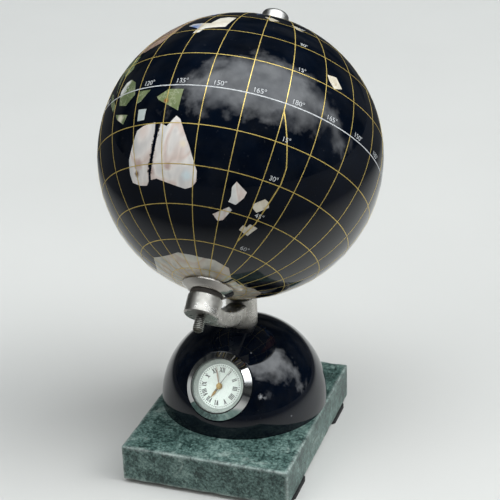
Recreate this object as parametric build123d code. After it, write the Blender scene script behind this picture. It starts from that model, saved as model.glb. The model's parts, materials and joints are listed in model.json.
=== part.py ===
from build123d import *
from math import asin, cos, degrees, radians, sin, sqrt
import os

# Desktop globe with cut-stone continents, on a short curved bracket, a lacquered dome
# with an insert clock, and a marble slab. Millimetres, +Z up, front towards -Y.
# The origin is on the table, straight below the centre of the globe.

# Slab and feet
slab_side_margin = 0.1
slab_depth = 86.0
slab_height = 15.0
slab_chamfer = 0.7
foot_width = 18.0
foot_length = 16.0
foot_height = 1.6
foot_inset = 6.5
foot_proud = 0.6
foot_corner = 2.0

# Dome
dome_radius = 33.9
dome_skirt = 1.2
dome_back = 7.0
seat_margin = 0.3
globe_back = 5.0

# Bolt that ties slab, dome and bracket together
bolt_radius = 2.5
bolt_clearance = 0.4
bolt_head_flats = 8.0
bolt_head_height = 3.5
bolt_grip = 6.0
thread_tip_room = 0.8
washer_radius = 5.5
washer_thickness = 1.0
counterbore_radius = 7.0
counterbore_depth = 6.0

# Globe
globe_radius = 55.0
globe_lift = 14.25
globe_wall = 6.0
axis_tilt = 48.0
globe_spin = 121.6
bush_radius = 6.0
bush_length = 11.0
stone_thickness = 1.4
stone_bed = 0.06
stone_gap = 0.08

# Axle and what is on it
rod_radius = 2.0
rod_below = 17.6
rod_chamfer = 0.4
running_clearance = 0.05
thread_clearance = 0.02
face_clearance = 0.06
cup_radius = 9.9
cup_neck_radius = 6.6
cup_height = 2.3
cup_rim = 0.7
cup_clearance = 0.12
thrust_radius = 6.2
thrust_thickness = 1.4
top_washer_radius = 5.0
top_washer_thickness = 0.8
knob_radius = 5.5
knob_height = 8.6
knob_round = 1.5
knob_thread = 6.0

# Bracket
post_radius = 6.3
post_chamfer = 0.5
post_gap = 1.6
arm_gap = 4.6
arm_thickness = 6.4
arm_width = 7.8
arm_round = 1.0
boss_radius = 6.65
boss_length = 7.8
boss_chamfer = 0.5

# Insert clock
clock_elevation = 34.2
clock_turn = -2.0
clock_bore_depth = 12.0
bezel_flange = 2.2
bezel_edge = 0.8
bezel_height = 3.2
bezel_crown = 0.5
glass_play = 0.05
glass_thickness = 1.1
glass_crown = 0.35
case_radius = 11.3
case_wall = 0.6
case_depth = 8.4
skirt_depth = 2.0
skirt_wall = 0.55
gasket_room = 0.7
gasket_length = 3.5
gasket_start = 2.8
gasket_ribs = 3
dial_thickness = 0.4
dial_level = 0.2
rehaut_height = 1.4
rehaut_width = 1.9
rehaut_lip = 0.4
clock_fit = 0.04
holder_wall = 1.1
movement_thickness = 4.2
back_thickness = 0.8
battery_radius = 3.4
battery_thickness = 2.6
battery_wall = 0.8
clip_width = 2.4
clip_thickness = 0.25
setting_knob_radius = 2.4
setting_knob_height = 1.8
setting_knob_gap = 0.25
setting_knob_flutes = 12
setting_knob_flute = 0.3

# Hands, shown at three minutes to seven
hour_angle = 208.5
minute_angle = 342.0
second_angle = 29.0
hour_length = 5.6
minute_length = 7.7
second_length = 8.6
second_tail = 2.4
hour_root_width = 0.44
hour_belly_width = 1.0
minute_root_width = 0.4
minute_belly_width = 0.6
second_tail_width = 0.32
hand_tip_width = 0.1
belly_share = 0.6
hand_thickness = 0.14
hand_step = 0.36
hour_hub_radius = 1.25
minute_hub_radius = 1.0
second_hub_radius = 0.7
hour_pipe_radius = 0.95
hour_pipe_depth = 1.3
minute_pipe_radius = 0.65
second_pin_radius = 0.25
pipe_play = 0.06

# Levels and places worked out from the sizes above
slab_width = 2 * (dome_radius + slab_side_margin)
slab_top = foot_height + slab_height
dome_y = -globe_back
slab_y = dome_y - dome_back
dome_centre_z = slab_top + dome_skirt
post_seat_radius = post_radius + seat_margin
post_seat_z = dome_centre_z + sqrt(dome_radius**2 - post_seat_radius**2)
globe_height = post_seat_z + globe_lift + globe_radius
arm_inner = globe_radius + arm_gap
arm_outer = arm_inner + arm_thickness
post_top_z = globe_height - globe_radius - post_gap
clock_bore_radius = case_radius + gasket_room
bezel_radius = case_radius + bezel_flange
glass_radius = case_radius - case_wall - glass_play
movement_radius = case_radius - case_wall - holder_wall
battery_offset = movement_radius - battery_radius - battery_wall
clock_seat = sqrt(dome_radius**2 - (bezel_radius + seat_margin) ** 2)
thrust_top = cup_height + face_clearance
boss_top = thrust_top + thrust_thickness
boss_bottom = boss_top + boss_length
knob_base = face_clearance + top_washer_thickness

axis_place = Pos(0, 0, globe_height) * Rot(X=-axis_tilt)
globe_place = axis_place * Rot(Z=globe_spin)
clock_place = Pos(0, dome_y, dome_centre_z) * Rot(Z=clock_turn) * Rot(X=90 - clock_elevation) * Pos(0, 0, clock_seat)

# Cut-stone outlines as (longitude, latitude) corners in degrees, one list per stone
stones = {
    "stones_australia": [
        [(122, -17), (125.5, -15.5), (131.4, -14.5), (131.4, -19), (128.8, -29), (127.2, -33.5),
         (126.6, -36.5), (125, -38), (120.5, -37.6), (116, -36), (115.4, -32.5), (116.2, -27.5)],
        [(132.8, -14.5), (136.6, -16.2), (140.4, -12.2), (142.3, -13.5), (147.4, -23.3), (151.6, -32),
         (151.7, -36), (149.8, -38.2), (146.3, -39.2), (138.7, -37.6), (131.3, -35.6), (128, -36),
         (128.4, -33), (131.8, -23), (132.8, -18.5)],
    ],
    "stone_new_guinea": [
        [(130, -4.6), (134.8, -1.6), (141.3, -1.6), (140.7, -10.4), (131.3, -6)],
    ],
    "stones_sunda": [
        [(106.7, 2), (109, 5.4), (112.2, 6.2), (116, 4), (118, -2), (113.3, -5.7), (108.3, -4.4)],
        [(119.7, -0.8), (126.4, -1.1), (122.3, -5.6), (119.9, -6.3)],
        [(106.6, -7.6), (115.6, -9.7), (113.2, -13.2), (108, -10)],
        [(95.5, 5.5), (98.5, 4), (105, -3.5), (104, -6), (100, -2)],
    ],
    "stone_timor": [
        [(121.8, -8.7), (126.1, -8.9), (125.5, -13.3), (121.8, -13.4)],
    ],
    "stones_new_zealand": [
        [(169.5, -33), (168, -35.5), (168.6, -39), (167.9, -41.3), (171.9, -41.8), (174.8, -38.4),
         (175.3, -36)],
        [(169, -43), (166, -44.8), (161.1, -47.3), (164.7, -49.8), (167.6, -48.8), (170.9, -44)],
    ],
    "stones_pacific": [
        [(179.5, -39.6), (184.1, -36.2), (186.4, -36.8), (187.7, -38.8), (183, -42.3), (180.5, -41.2)],
        [(177.8, -51), (179.1, -48.6), (181.6, -48.9), (182.4, -47.3), (187.5, -47.8), (184.3, -52.4)],
        [(162.4, 49.5), (166.5, 50.6), (171.6, 47.6), (167.2, 44.5)],
        [(178.9, 48), (182.6, 47.7), (185.5, 43.7), (181.3, 43.9)],
        [(195.3, 20.5), (200.1, 21.6), (203.2, 17.2), (198.9, 15), (196.3, 17.8)],
    ],
    "stone_japan": [
        [(126.4, 34.7), (128.3, 36.3), (138.4, 35.6), (140.4, 41), (144.3, 42.6), (148.8, 42.2),
         (147.3, 32.3), (138, 30.8), (136.6, 27.9), (133.8, 27.4), (134, 31.2)],
    ],
    "stones_russia": [
        [(30, 60), (29.5, 68.5), (44, 68), (66, 69), (66, 56), (48, 46.5), (40, 47), (33, 52)],
        [(68, 69), (73, 72.5), (104, 77), (112, 74), (112, 51), (88, 50.5), (68, 56)],
        [(114, 73.5), (150, 71.5), (178, 69), (176, 63), (162, 59), (157, 51.5), (155, 58), (142, 59),
         (131, 43.5), (130, 48.5), (114, 51)],
    ],
    "stone_china": [
        [(75.5, 38.5), (88, 48), (96, 43), (107, 41), (113, 42.5), (121, 49), (128, 48), (121.5, 37),
         (121.5, 30), (118, 24), (110, 21.5), (100, 22.5), (98, 28), (88, 28.5), (79, 32)],
    ],
    "stones_central_asia": [
        [(52, 46), (57, 49), (66, 53.8), (86, 48.5), (79, 43.5), (66, 37.8), (55, 38.5)],
        [(90, 49), (98, 49.3), (114, 48.8), (110, 44.5), (97, 44.6)],
    ],
    "stone_india": [
        [(68.5, 24), (74, 32), (79, 30), (92, 24), (80.5, 15), (77, 8.5), (72, 21)],
    ],
    "stone_indochina": [
        [(94.5, 17), (97.5, 20.8), (108, 20), (109, 12), (105, 9), (101, 13), (103, 1.5), (98.5, 13)],
    ],
    "stones_middle_east": [
        [(35, 28), (42, 35.5), (47, 30), (51, 25), (59, 22), (55, 17.5), (45, 13.5), (39, 21.5)],
        [(45.5, 38.5), (54, 36.5), (70, 36.5), (66, 26), (60, 26), (49, 31)],
        [(27, 39), (35, 41.8), (43.5, 40.8), (43.8, 38), (30, 36.8)],
    ],
    "stones_europe": [
        [(-9, 42.8), (-2, 43), (3, 42), (-6, 36.2), (-9, 38)],
        [(-1.5, 44.3), (-4.5, 48.3), (8, 54), (14, 54), (13.5, 46), (18, 40.5), (16.2, 38), (7.5, 44.3)],
        [(15.7, 54), (23, 55), (30.5, 51.5), (38, 47.5), (28, 44), (22.5, 37), (15.3, 45.5)],
        [(5.5, 58.8), (5.5, 62), (19, 69.8), (26, 70.6), (26.5, 66), (18.5, 60), (14.5, 56)],
        [(-5.5, 50.2), (1, 51.8), (-5, 58.4), (-5.5, 55.5)],
    ],
    "stones_north_africa": [
        [(-9.5, 30), (-5.5, 35.3), (9.5, 37), (9.5, 24), (3, 19.8), (-4.5, 16), (-16.5, 16), (-16.5, 21)],
        [(12, 32.5), (20, 32), (31, 31.3), (34.5, 28), (37, 21), (36, 15), (24, 12.7), (15, 14), (11.5, 23.5)],
    ],
    "stones_central_africa": [
        [(-16.8, 14.4), (-4.5, 14.4), (4, 18), (13, 14), (13.5, 8), (9, 4.8), (-7.5, 4.5), (-13, 9)],
        [(15.7, 12.2), (31.8, 10.3), (32.3, 4), (28.8, -11), (22, -11), (13.3, -6), (9.8, -0.5), (10.3, 3.3)],
        [(37.5, 14), (43, 11.5), (51, 11.8), (40.5, -2.5), (34.3, -1), (33.5, 10)],
    ],
    "stones_southern_africa": [
        [(13.8, -7.8), (21.5, -12.5), (30, -12.7), (33.3, -22), (32, -28.5), (27, -33.8), (18.8, -34.3),
         (11.8, -17)],
        [(30.8, -2.5), (39, -4), (40.5, -14.5), (35.5, -22.5), (34.3, -17), (30.8, -11)],
        [(49.3, -12.5), (50.3, -16), (47, -25), (44.2, -24), (44.3, -17.5)],
    ],
    "stone_alaska": [
        [(-157, 71), (-142.3, 69.8), (-142.3, 60.5), (-150, 59.5), (-164, 55), (-158, 59), (-167, 66)],
    ],
    "stones_canada": [
        [(-140, 69.5), (-128, 70), (-103, 67.5), (-103, 49.9), (-123, 49.9), (-140.3, 60.5)],
        [(-101, 67.5), (-91, 68), (-94, 60), (-82, 54), (-78.5, 62), (-69.5, 60.5), (-57, 52.3),
         (-67, 49.5), (-62.5, 46), (-66, 44.3), (-72, 46.8), (-84, 48), (-101, 49.9)],
        [(-88, 73.5), (-80, 73.5), (-62.5, 66.5), (-66, 63), (-86, 70.2)],
    ],
    "stones_united_states": [
        [(-124, 48.3), (-103.5, 48.3), (-103.5, 31.3), (-117, 32.9), (-124, 41)],
        [(-101.8, 48.3), (-90.5, 47.6), (-83, 42), (-77, 43.5), (-70.5, 45), (-70, 41.8), (-81, 31.5),
         (-80.3, 25.5), (-83, 29.7), (-90, 29.6), (-97, 27), (-101.8, 30.7)],
    ],
    "stones_mexico": [
        [(-116.5, 31.2), (-103, 29.3), (-98, 25.5), (-97, 20), (-87, 21.3), (-94, 16), (-105.5, 20.5)],
        [(-91.5, 14.3), (-83.3, 14.8), (-83, 10.5), (-77.8, 8.8), (-85.5, 10.5)],
    ],
    "stone_greenland": [
        [(-72, 78.3), (-60, 81.8), (-33, 83.3), (-19, 80), (-24, 70.5), (-43, 60.3), (-54, 69.5)],
    ],
    "stone_brazil": [
        [(-51.5, 3.3), (-50, 0), (-35.3, -5.5), (-38.8, -13), (-40.5, -21), (-53, -33), (-56.3, -30),
         (-54.3, -25.5), (-60, -14.5), (-71.5, -9.5), (-68.5, 0.3), (-60, 2.3)],
    ],
    "stones_andes": [
        [(-77.3, 7.6), (-72, 11.8), (-62, 10.3), (-52.3, 4.9), (-69.8, 2), (-70.3, -3), (-78.8, 1.8)],
        [(-79.5, 0.2), (-70.3, -4.9), (-73, -10), (-61, -16), (-59.5, -20), (-70.3, -20), (-81, -5)],
        [(-70.5, -21.6), (-58.7, -21.8), (-55.9, -25.5), (-58.3, -34), (-57, -37.5), (-65.5, -44),
         (-69, -52), (-74, -50.5)],
    ],
}
antarctic_coast = [(0, -69.5), (30, -68.5), (55, -66.5), (77, -67.5), (90, -65.5), (130, -66.3),
                   (145, -67.4), (168, -68), (186, -70), (200, -75), (222, -76), (245, -72), (263, -68.6),
                   (280, -69), (298, -64.5), (304, -68), (318, -76), (336, -72)]
antarctic_seams = (204, 330)
antarctic_seam_width = 0.9
antarctic_hole_radius = 7.2


def turned(profile):
    """A solid turned about Z from a closed (radius, height) outline."""
    return revolve(make_face(Plane.XZ * Polyline(*profile, close=True)), Axis.Z)


def ring(inner, outer, low, high):
    return turned([(inner, low), (outer, low), (outer, high), (inner, high)])


def disc(radius, low, high):
    return Pos(0, 0, low) * Cylinder(radius, high - low, align=(Align.CENTER, Align.CENTER, Align.MIN))


def save(node, *solids):
    """One STEP file for a node, holding its solids."""
    bodies = [body for solid in solids for body in solid.solids()]
    export_step(bodies[0] if len(bodies) == 1 else Compound(children=bodies), f"parts/{node}.step")


def under_globe(angle, radius):
    """A point in the plane of symmetry, turned forwards from straight below the globe."""
    return (-radius * sin(radians(angle)), globe_height - radius * cos(radians(angle)))


def direction(lon, lat):
    """Unit vector of a place on the globe, in the globe's own polar frame."""
    return Vector(
        cos(radians(lat)) * cos(radians(lon)), cos(radians(lat)) * sin(radians(lon)), sin(radians(lat))
    )


def stone_wedge(outline, margin):
    """Wedge from inside the globe to outside it whose sides run to the globe's centre."""
    corners = [direction(lon, lat) for lon, lat in outline]
    middle = sum(corners, Vector(0, 0, 0)).normalized()
    spread = min(corner.dot(middle) for corner in corners)
    low = (globe_radius - globe_wall) * spread
    high = globe_radius + stone_thickness
    tangent = Plane(origin=(0, 0, 0), z_dir=middle)
    sections = []
    for level in (low, high):
        points = [tangent.to_local_coords(corner * (level / corner.dot(middle))) for corner in corners]
        flat = make_face(Polyline(*[(point.X, point.Y) for point in points], close=True))
        grown = offset(flat, margin * level / globe_radius, kind=Kind.INTERSECTION) if margin else flat
        sections.append(tangent * Pos(0, 0, level) * grown)
    return loft(sections, ruled=True)


def antarctic_piece(margin, floor):
    """Ring of stone round the south pole, sawn in two."""
    blank = (stone_wedge(antarctic_coast, -margin) & Sphere(globe_radius)) - floor
    pole = disc(antarctic_hole_radius + margin, -globe_radius, 0)
    saw = Pos(globe_radius / 2, 0, -globe_radius) * Box(globe_radius, antarctic_seam_width + 2 * margin, globe_radius)
    return blank - pole - [Rot(Z=lon) * saw for lon in antarctic_seams]


def leaf(root_width, belly_width, length):
    """Right half of a leaf-shaped hand that points up."""
    return [(root_width / 2, 0), (belly_width / 2, length * belly_share), (hand_tip_width / 2, length)]


def hand(outline, hub_radius, angle, level):
    """A flat hand with a round hub, turned clockwise from twelve o'clock."""
    blade = make_face(Polyline(*outline, *[(-x, y) for x, y in reversed(outline)], close=True))
    return Pos(0, 0, level) * Rot(Z=-angle) * extrude(blade + Circle(hub_radius), hand_thickness)


os.makedirs("parts", exist_ok=True)

# Marble slab: chamfered block with a counterbored hole for the tie bolt
slab_block = Pos(0, slab_y, foot_height) * Box(
    slab_width, slab_depth, slab_height, align=(Align.CENTER, Align.CENTER, Align.MIN)
)
slab_block = chamfer(slab_block.edges(), slab_chamfer)
bolt_hole = Pos(0, dome_y, 0) * disc(bolt_radius + bolt_clearance, 0, post_seat_z)
counterbore = Pos(0, dome_y, 0) * disc(counterbore_radius, foot_height, foot_height + counterbore_depth)
marble_slab = slab_block - bolt_hole - counterbore

# Four flat rubber feet near the corners, a little proud of the long sides
foot = extrude(RectangleRounded(foot_width, foot_length, foot_corner), foot_height)
foot_x = slab_width / 2 + foot_proud - foot_width / 2
foot_y = slab_depth / 2 - foot_inset - foot_length / 2
rubber_feet = [Pos(x, slab_y + y, 0) * foot for x in (-foot_x, foot_x) for y in (-foot_y, foot_y)]

# Dome: hemisphere on a short straight skirt, flat on top for the post, bored for the clock
dome_profile = [
    Line((0, 0), (dome_radius, 0)),
    Line((dome_radius, 0), (dome_radius, dome_skirt)),
    CenterArc((0, dome_skirt), dome_radius, 0, 90 - degrees(asin(post_seat_radius / dome_radius))),
    Line((post_seat_radius, post_seat_z - slab_top), (0, post_seat_z - slab_top)),
    Line((0, post_seat_z - slab_top), (0, 0)),
]
dome_turning = Pos(0, dome_y, slab_top) * revolve(make_face(Plane.XZ * Curve(children=dome_profile)), Axis.Z)
clock_spot_face = clock_place * disc(bezel_radius + 2 * seat_margin, 0, dome_radius)
clock_bore = clock_place * disc(clock_bore_radius, -clock_bore_depth, 0)
dome = dome_turning - bolt_hole - clock_spot_face - clock_bore

# Tie bolt and washer, from the counterbore up into the post
washer_low = foot_height + counterbore_depth - washer_thickness
bolt_top = post_seat_z + bolt_grip
bolt_head = extrude(RegularPolygon(bolt_head_flats / 2, 6, major_radius=False), bolt_head_height)
tie_bolt = Pos(0, dome_y, washer_low - bolt_head_height) * bolt_head
tie_bolt += Pos(0, dome_y, 0) * disc(bolt_radius, washer_low, bolt_top)
tie_washer = Pos(0, dome_y, 0) * ring(bolt_radius + bolt_clearance / 2, washer_radius, washer_low,
                                      washer_low + washer_thickness)

# Bracket: post, curved arm that follows the globe, and the boss that holds the axle
post = Pos(0, dome_y, 0) * disc(post_radius, post_seat_z, post_top_z)
post = chamfer(post.edges().group_by(Axis.Z)[-1], post_chamfer)
arm_from = degrees(asin(globe_back / arm_inner))
arm_middle = (arm_from + axis_tilt) / 2
arm_profile = [
    ThreePointArc(*[under_globe(angle, arm_inner) for angle in (arm_from, arm_middle, axis_tilt)]),
    Line(under_globe(axis_tilt, arm_inner), under_globe(axis_tilt, arm_outer)),
    ThreePointArc(*[under_globe(angle, arm_outer) for angle in (axis_tilt, arm_middle, arm_from)]),
    Line(under_globe(arm_from, arm_outer), under_globe(arm_from, arm_inner)),
]
arm = extrude(make_face(Plane.YZ * Curve(children=arm_profile)), arm_width / 2, both=True)
arm = fillet(arm.edges().filter_by(GeomType.CIRCLE), arm_round)
boss = axis_place * chamfer(
    disc(boss_radius, -globe_radius - boss_bottom, -globe_radius - boss_top).edges().filter_by(GeomType.CIRCLE),
    boss_chamfer,
)
axle_hole = axis_place * disc(rod_radius + thread_clearance, -globe_radius - boss_bottom, -globe_radius)
post_thread = Pos(0, dome_y, 0) * disc(bolt_radius + thread_clearance, post_seat_z, bolt_top + thread_tip_room)
bracket = post + arm + boss - axle_hole - post_thread

# Axle rod right through the globe, its threaded end standing out below the boss
rod_low = -globe_radius - rod_below
rod_high = globe_radius + knob_base + knob_thread
axle_rod = axis_place * chamfer(disc(rod_radius, rod_low, rod_high).edges().filter_by(GeomType.CIRCLE), rod_chamfer)

# Fibre washer under the cup, fibre washer and knob on top
thrust_washer = axis_place * ring(rod_radius + running_clearance, thrust_radius, -globe_radius - boss_top,
                                  -globe_radius - thrust_top)
top_washer = axis_place * ring(rod_radius + running_clearance, top_washer_radius,
                               globe_radius + face_clearance, globe_radius + knob_base)
knob = disc(knob_radius, globe_radius + knob_base, globe_radius + knob_base + knob_height)
knob = fillet(knob.edges().group_by(Axis.Z)[-1], knob_round)
top_knob = axis_place * (knob - disc(rod_radius + thread_clearance, globe_radius + knob_base,
                                     rod_high + thread_tip_room))

# Bushes that close the two poles of the globe and run on the axle
pole_bore = disc(bush_radius, -globe_radius, globe_radius)
bush_inner = rod_radius + running_clearance
north_bush = axis_place * ring(bush_inner, bush_radius, globe_radius - bush_length, globe_radius)
south_bush = axis_place * ring(bush_inner, bush_radius, -globe_radius, bush_length - globe_radius)

# Dished cup glued over the south pole
cup_sphere = globe_radius + cup_clearance
cup_rim_level = -sqrt(cup_sphere**2 - cup_radius**2)
cup_outline = [
    (rod_radius + running_clearance, -globe_radius - cup_height),
    (cup_neck_radius, -globe_radius - cup_height),
    (cup_neck_radius + cup_rim, -globe_radius - cup_height + cup_rim / 2),
    (cup_radius, cup_rim_level - cup_rim),
    (cup_radius, cup_rim_level),
    (rod_radius + running_clearance, cup_rim_level),
]
south_cup = axis_place * (turned(cup_outline) - Sphere(cup_sphere) - disc(bush_radius, -globe_radius, 0))

# Stones and pockets between the globe's face and their floors
stone_floor = Sphere(globe_radius - stone_thickness)
pocket_floor = Sphere(globe_radius - stone_thickness - stone_bed)
globe_ball = Sphere(globe_radius)
antarctic_stone = antarctic_piece(stone_gap, stone_floor)
pockets = antarctic_piece(0, pocket_floor).solids()

save("stones_antarctica", globe_place * antarctic_stone)
for node, outlines in stones.items():
    cut_stones = []
    for outline in outlines:
        cut_stones.append(globe_place * ((stone_wedge(outline, -stone_gap) & globe_ball) - stone_floor))
        pockets.append(stone_wedge(outline, 0) - pocket_floor)
    save(node, *cut_stones)

# Globe shell: hollow ball, pocketed for the stones and bored at the poles
globe_shell = globe_ball - Sphere(globe_radius - globe_wall) - pole_bore - pockets
save("globe_shell", globe_place * globe_shell)

# Clock case: a plain tube, closed behind by a plugged cover
case_inner = case_radius - case_wall
inner_fit = case_inner - clock_fit
dial_back = dial_level - dial_thickness
movement_back = dial_back - movement_thickness
cover_face = -case_depth - back_thickness
hour_level = dial_level + hand_step
minute_level = hour_level + hand_step
second_level = minute_level + hand_step
glass_low = dial_level + rehaut_height
pipe_bottom = dial_back - hour_pipe_depth
arbor_hole = minute_pipe_radius + pipe_play
hour_hole = hour_pipe_radius + pipe_play
clock_case = ring(case_inner, case_radius, -case_depth, 0)
case_cover = ring(arbor_hole, case_radius, cover_face, -case_depth)
case_cover += ring(arbor_hole, inner_fit, -case_depth, back_thickness - case_depth)

# Polished bezel: a cone down to the seat, with a skirt that grips the case
skirt_inner = case_radius + clock_fit
clock_bezel = turned([
    (skirt_inner, -skirt_depth), (skirt_inner + skirt_wall, -skirt_depth), (skirt_inner + skirt_wall, 0),
    (bezel_radius, 0), (bezel_radius, bezel_edge), (glass_radius + bezel_crown, bezel_height),
    (glass_radius, bezel_height), (glass_radius, 0), (skirt_inner, 0),
])

# Ribbed rubber gasket that holds the case in the dome's bore
gasket_inner = case_radius + clock_fit
gasket_outer = clock_bore_radius - running_clearance
gasket_root = (gasket_inner + gasket_outer) / 2
rib_pitch = gasket_length / gasket_ribs
gasket_outline = [(gasket_inner, -gasket_start - gasket_length)]
for rib in range(gasket_ribs):
    rib_low = -gasket_start - gasket_length + rib * rib_pitch
    gasket_outline += [(gasket_root, rib_low), (gasket_outer, rib_low + rib_pitch / 2)]
gasket_outline += [(gasket_root, -gasket_start), (gasket_inner, -gasket_start)]
clock_gasket = turned(gasket_outline)

# Dial, sloping ring round it and crowned glass
glass_fit = glass_radius - clock_fit
clock_dial = ring(hour_hole, glass_fit, dial_back, dial_level)
dial_ring = turned([
    (glass_fit - rehaut_width, dial_level), (glass_fit, dial_level), (glass_fit, glass_low),
    (glass_fit - rehaut_lip, glass_low),
])
glass_edge = glass_low + glass_thickness
glass_top = glass_edge + glass_crown
crown_radius = (glass_fit**2 + glass_crown**2) / (2 * glass_crown)
clock_glass = disc(glass_fit, glass_low, glass_top) & (Pos(0, 0, glass_top - crown_radius) * Sphere(crown_radius))

# Quartz movement in its holder ring, with a button cell under a spring clip
movement = turned([
    (arbor_hole, movement_back), (movement_radius, movement_back), (movement_radius, dial_back),
    (hour_hole, dial_back), (hour_hole, pipe_bottom - hand_step), (arbor_hole, pipe_bottom - hand_step),
])
cell_place = Pos(0, -battery_offset, 0)
movement -= cell_place * disc(battery_radius + clock_fit, movement_back, movement_back + battery_thickness)
movement_ring = ring(movement_radius + clock_fit, inner_fit, movement_back, dial_back)
button_cell = cell_place * disc(battery_radius, movement_back, movement_back + battery_thickness - clock_fit)
clip_length = 2 * (battery_radius + clip_width / 2)
cell_clip = cell_place * Pos(0, 0, movement_back - clip_thickness / 2) * Box(clip_length, clip_width, clip_thickness)

# Hands on their pipes; the minute hand's arbor runs through to the setting knob at the back
hour_blade = leaf(hour_root_width, hour_belly_width, hour_length)
minute_blade = leaf(minute_root_width, minute_belly_width, minute_length)
second_blade = [(second_tail_width / 2, -second_tail), (hand_tip_width / 2, second_length)]
hour_hand = hand(hour_blade, hour_hub_radius, hour_angle, hour_level) - disc(arbor_hole, hour_level, minute_level)
hour_hand += ring(arbor_hole, hour_pipe_radius, pipe_bottom, hour_level)
minute_hand = hand(minute_blade, minute_hub_radius, minute_angle, minute_level)
minute_hand -= disc(minute_pipe_radius + thread_clearance, minute_level, second_level)
pin_hole = second_pin_radius + pipe_play
knob_face = cover_face - setting_knob_gap
knob_end = knob_face - setting_knob_height
centre_arbor = disc(minute_pipe_radius, knob_end, minute_level + hand_thickness)
centre_arbor -= disc(pin_hole, movement_back, second_level)
second_hand = hand(second_blade, second_hub_radius, second_angle, second_level)
second_hand += disc(second_pin_radius, movement_back + hand_step, second_level)
flute = Pos(setting_knob_radius, 0, 0) * disc(setting_knob_flute, knob_end, knob_face)
setting_knob = ring(minute_pipe_radius + thread_clearance, setting_knob_radius, knob_end, knob_face)
setting_knob -= [Rot(Z=step * 360 / setting_knob_flutes) * flute for step in range(setting_knob_flutes)]

for node, solid in {
    "clock_case": clock_case, "case_cover": case_cover, "clock_bezel": clock_bezel,
    "clock_gasket": clock_gasket, "clock_dial": clock_dial, "dial_ring": dial_ring,
    "clock_glass": clock_glass, "movement": movement, "movement_ring": movement_ring,
    "button_cell": button_cell, "cell_clip": cell_clip, "hour_hand": hour_hand,
    "minute_hand": minute_hand, "centre_arbor": centre_arbor, "second_hand": second_hand,
    "setting_knob": setting_knob,
}.items():
    save(node, clock_place * solid)

for node, solids in {
    "marble_slab": [marble_slab], "rubber_feet": rubber_feet, "dome": [dome], "tie_bolt": [tie_bolt],
    "tie_washer": [tie_washer], "bracket": [bracket], "axle_rod": [axle_rod],
    "thrust_washer": [thrust_washer], "top_washer": [top_washer], "top_knob": [top_knob],
    "north_bush": [north_bush], "south_bush": [south_bush], "south_cup": [south_cup],
}.items():
    save(node, *solids)
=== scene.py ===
import json
import math
import bpy
from mathutils import Matrix, Vector
from mathutils import noise as spaceNoise


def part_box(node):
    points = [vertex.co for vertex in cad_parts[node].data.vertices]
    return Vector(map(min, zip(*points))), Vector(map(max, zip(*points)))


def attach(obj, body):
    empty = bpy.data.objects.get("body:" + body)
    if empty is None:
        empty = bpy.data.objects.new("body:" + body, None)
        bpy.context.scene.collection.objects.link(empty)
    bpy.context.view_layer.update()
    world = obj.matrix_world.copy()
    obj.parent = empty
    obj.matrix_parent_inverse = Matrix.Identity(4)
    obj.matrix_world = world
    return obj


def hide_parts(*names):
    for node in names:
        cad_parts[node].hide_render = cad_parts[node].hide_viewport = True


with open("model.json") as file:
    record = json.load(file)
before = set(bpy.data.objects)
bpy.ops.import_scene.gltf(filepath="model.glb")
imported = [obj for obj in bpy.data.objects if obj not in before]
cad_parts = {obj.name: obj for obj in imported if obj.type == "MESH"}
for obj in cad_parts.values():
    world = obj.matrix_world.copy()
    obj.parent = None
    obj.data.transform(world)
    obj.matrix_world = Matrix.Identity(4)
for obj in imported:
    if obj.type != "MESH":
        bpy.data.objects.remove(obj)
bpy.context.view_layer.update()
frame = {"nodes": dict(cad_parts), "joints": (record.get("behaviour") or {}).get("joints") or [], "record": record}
nodes = frame["nodes"]
joints = {joint["name"]: joint for joint in frame["joints"]}
slotOfNode = {part["node"]: part["material_slot"] for part in frame["record"]["subparts"]}
mm = 0.001
weld, fineWeld = 1e-6, 1e-7  # points closer than this, in metres, are one point
asBuilt = Matrix.Identity(4)  # the place of a piece that is modelled in the frame itself
print("frame loaded:", len(nodes), "nodes")

# Places read from the frame
globeCentre = Vector(joints["globe_spin"]["pos_m"])
poleAxis = Vector(joints["globe_spin"]["axis"]).normalized()
globeRadius = (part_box("globe_shell")[1].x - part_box("globe_shell")[0].x) / 2
axisTilt = math.atan2(poleAxis.y, poleAxis.z)
globeSpin = math.radians(121.6)  # turns longitude 0 to where the map's meridian stands
axlePlace = Matrix.Translation(globeCentre) @ Matrix.Rotation(-axisTilt, 4, "X")
globePlace = axlePlace @ Matrix.Rotation(globeSpin, 4, "Z")
clockOut = Vector(joints["clock_pull"]["axis"]).normalized()
clockPlace = Matrix.Translation(joints["minute_turn"]["pos_m"])
clockPlace = clockPlace @ Matrix.Rotation(math.atan2(clockOut.x, -clockOut.y), 4, "Z")
clockPlace = clockPlace @ Matrix.Rotation(math.pi / 2 - math.asin(clockOut.z), 4, "X")


def onGlobe(longitude, latitude, radius):
    lon, lat = math.radians(longitude), math.radians(latitude)
    return Vector((math.cos(lat) * math.cos(lon), math.cos(lat) * math.sin(lon), math.sin(lat))) * radius


# Working steps that every piece uses

def deselectAll():
    if bpy.context.mode != "OBJECT":
        bpy.ops.object.mode_set(mode="OBJECT")
    bpy.ops.object.select_all(action="DESELECT")


def takeUp(piece):
    deselectAll()
    piece.select_set(True)
    bpy.context.view_layer.objects.active = piece
    return piece


def named(name):
    piece = bpy.context.object
    piece.name = name
    piece.data.name = name
    return piece


def applyAll(piece):
    takeUp(piece)
    for modifier in list(piece.modifiers):
        bpy.ops.object.modifier_apply(modifier=modifier.name)


def editOp(piece, *steps):
    takeUp(piece)
    bpy.ops.object.mode_set(mode="EDIT")
    bpy.ops.mesh.select_all(action="SELECT")
    for step in steps:
        step()
    bpy.ops.object.mode_set(mode="OBJECT")


def turnOutward():
    bpy.ops.mesh.normals_make_consistent(inside=False)


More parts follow.
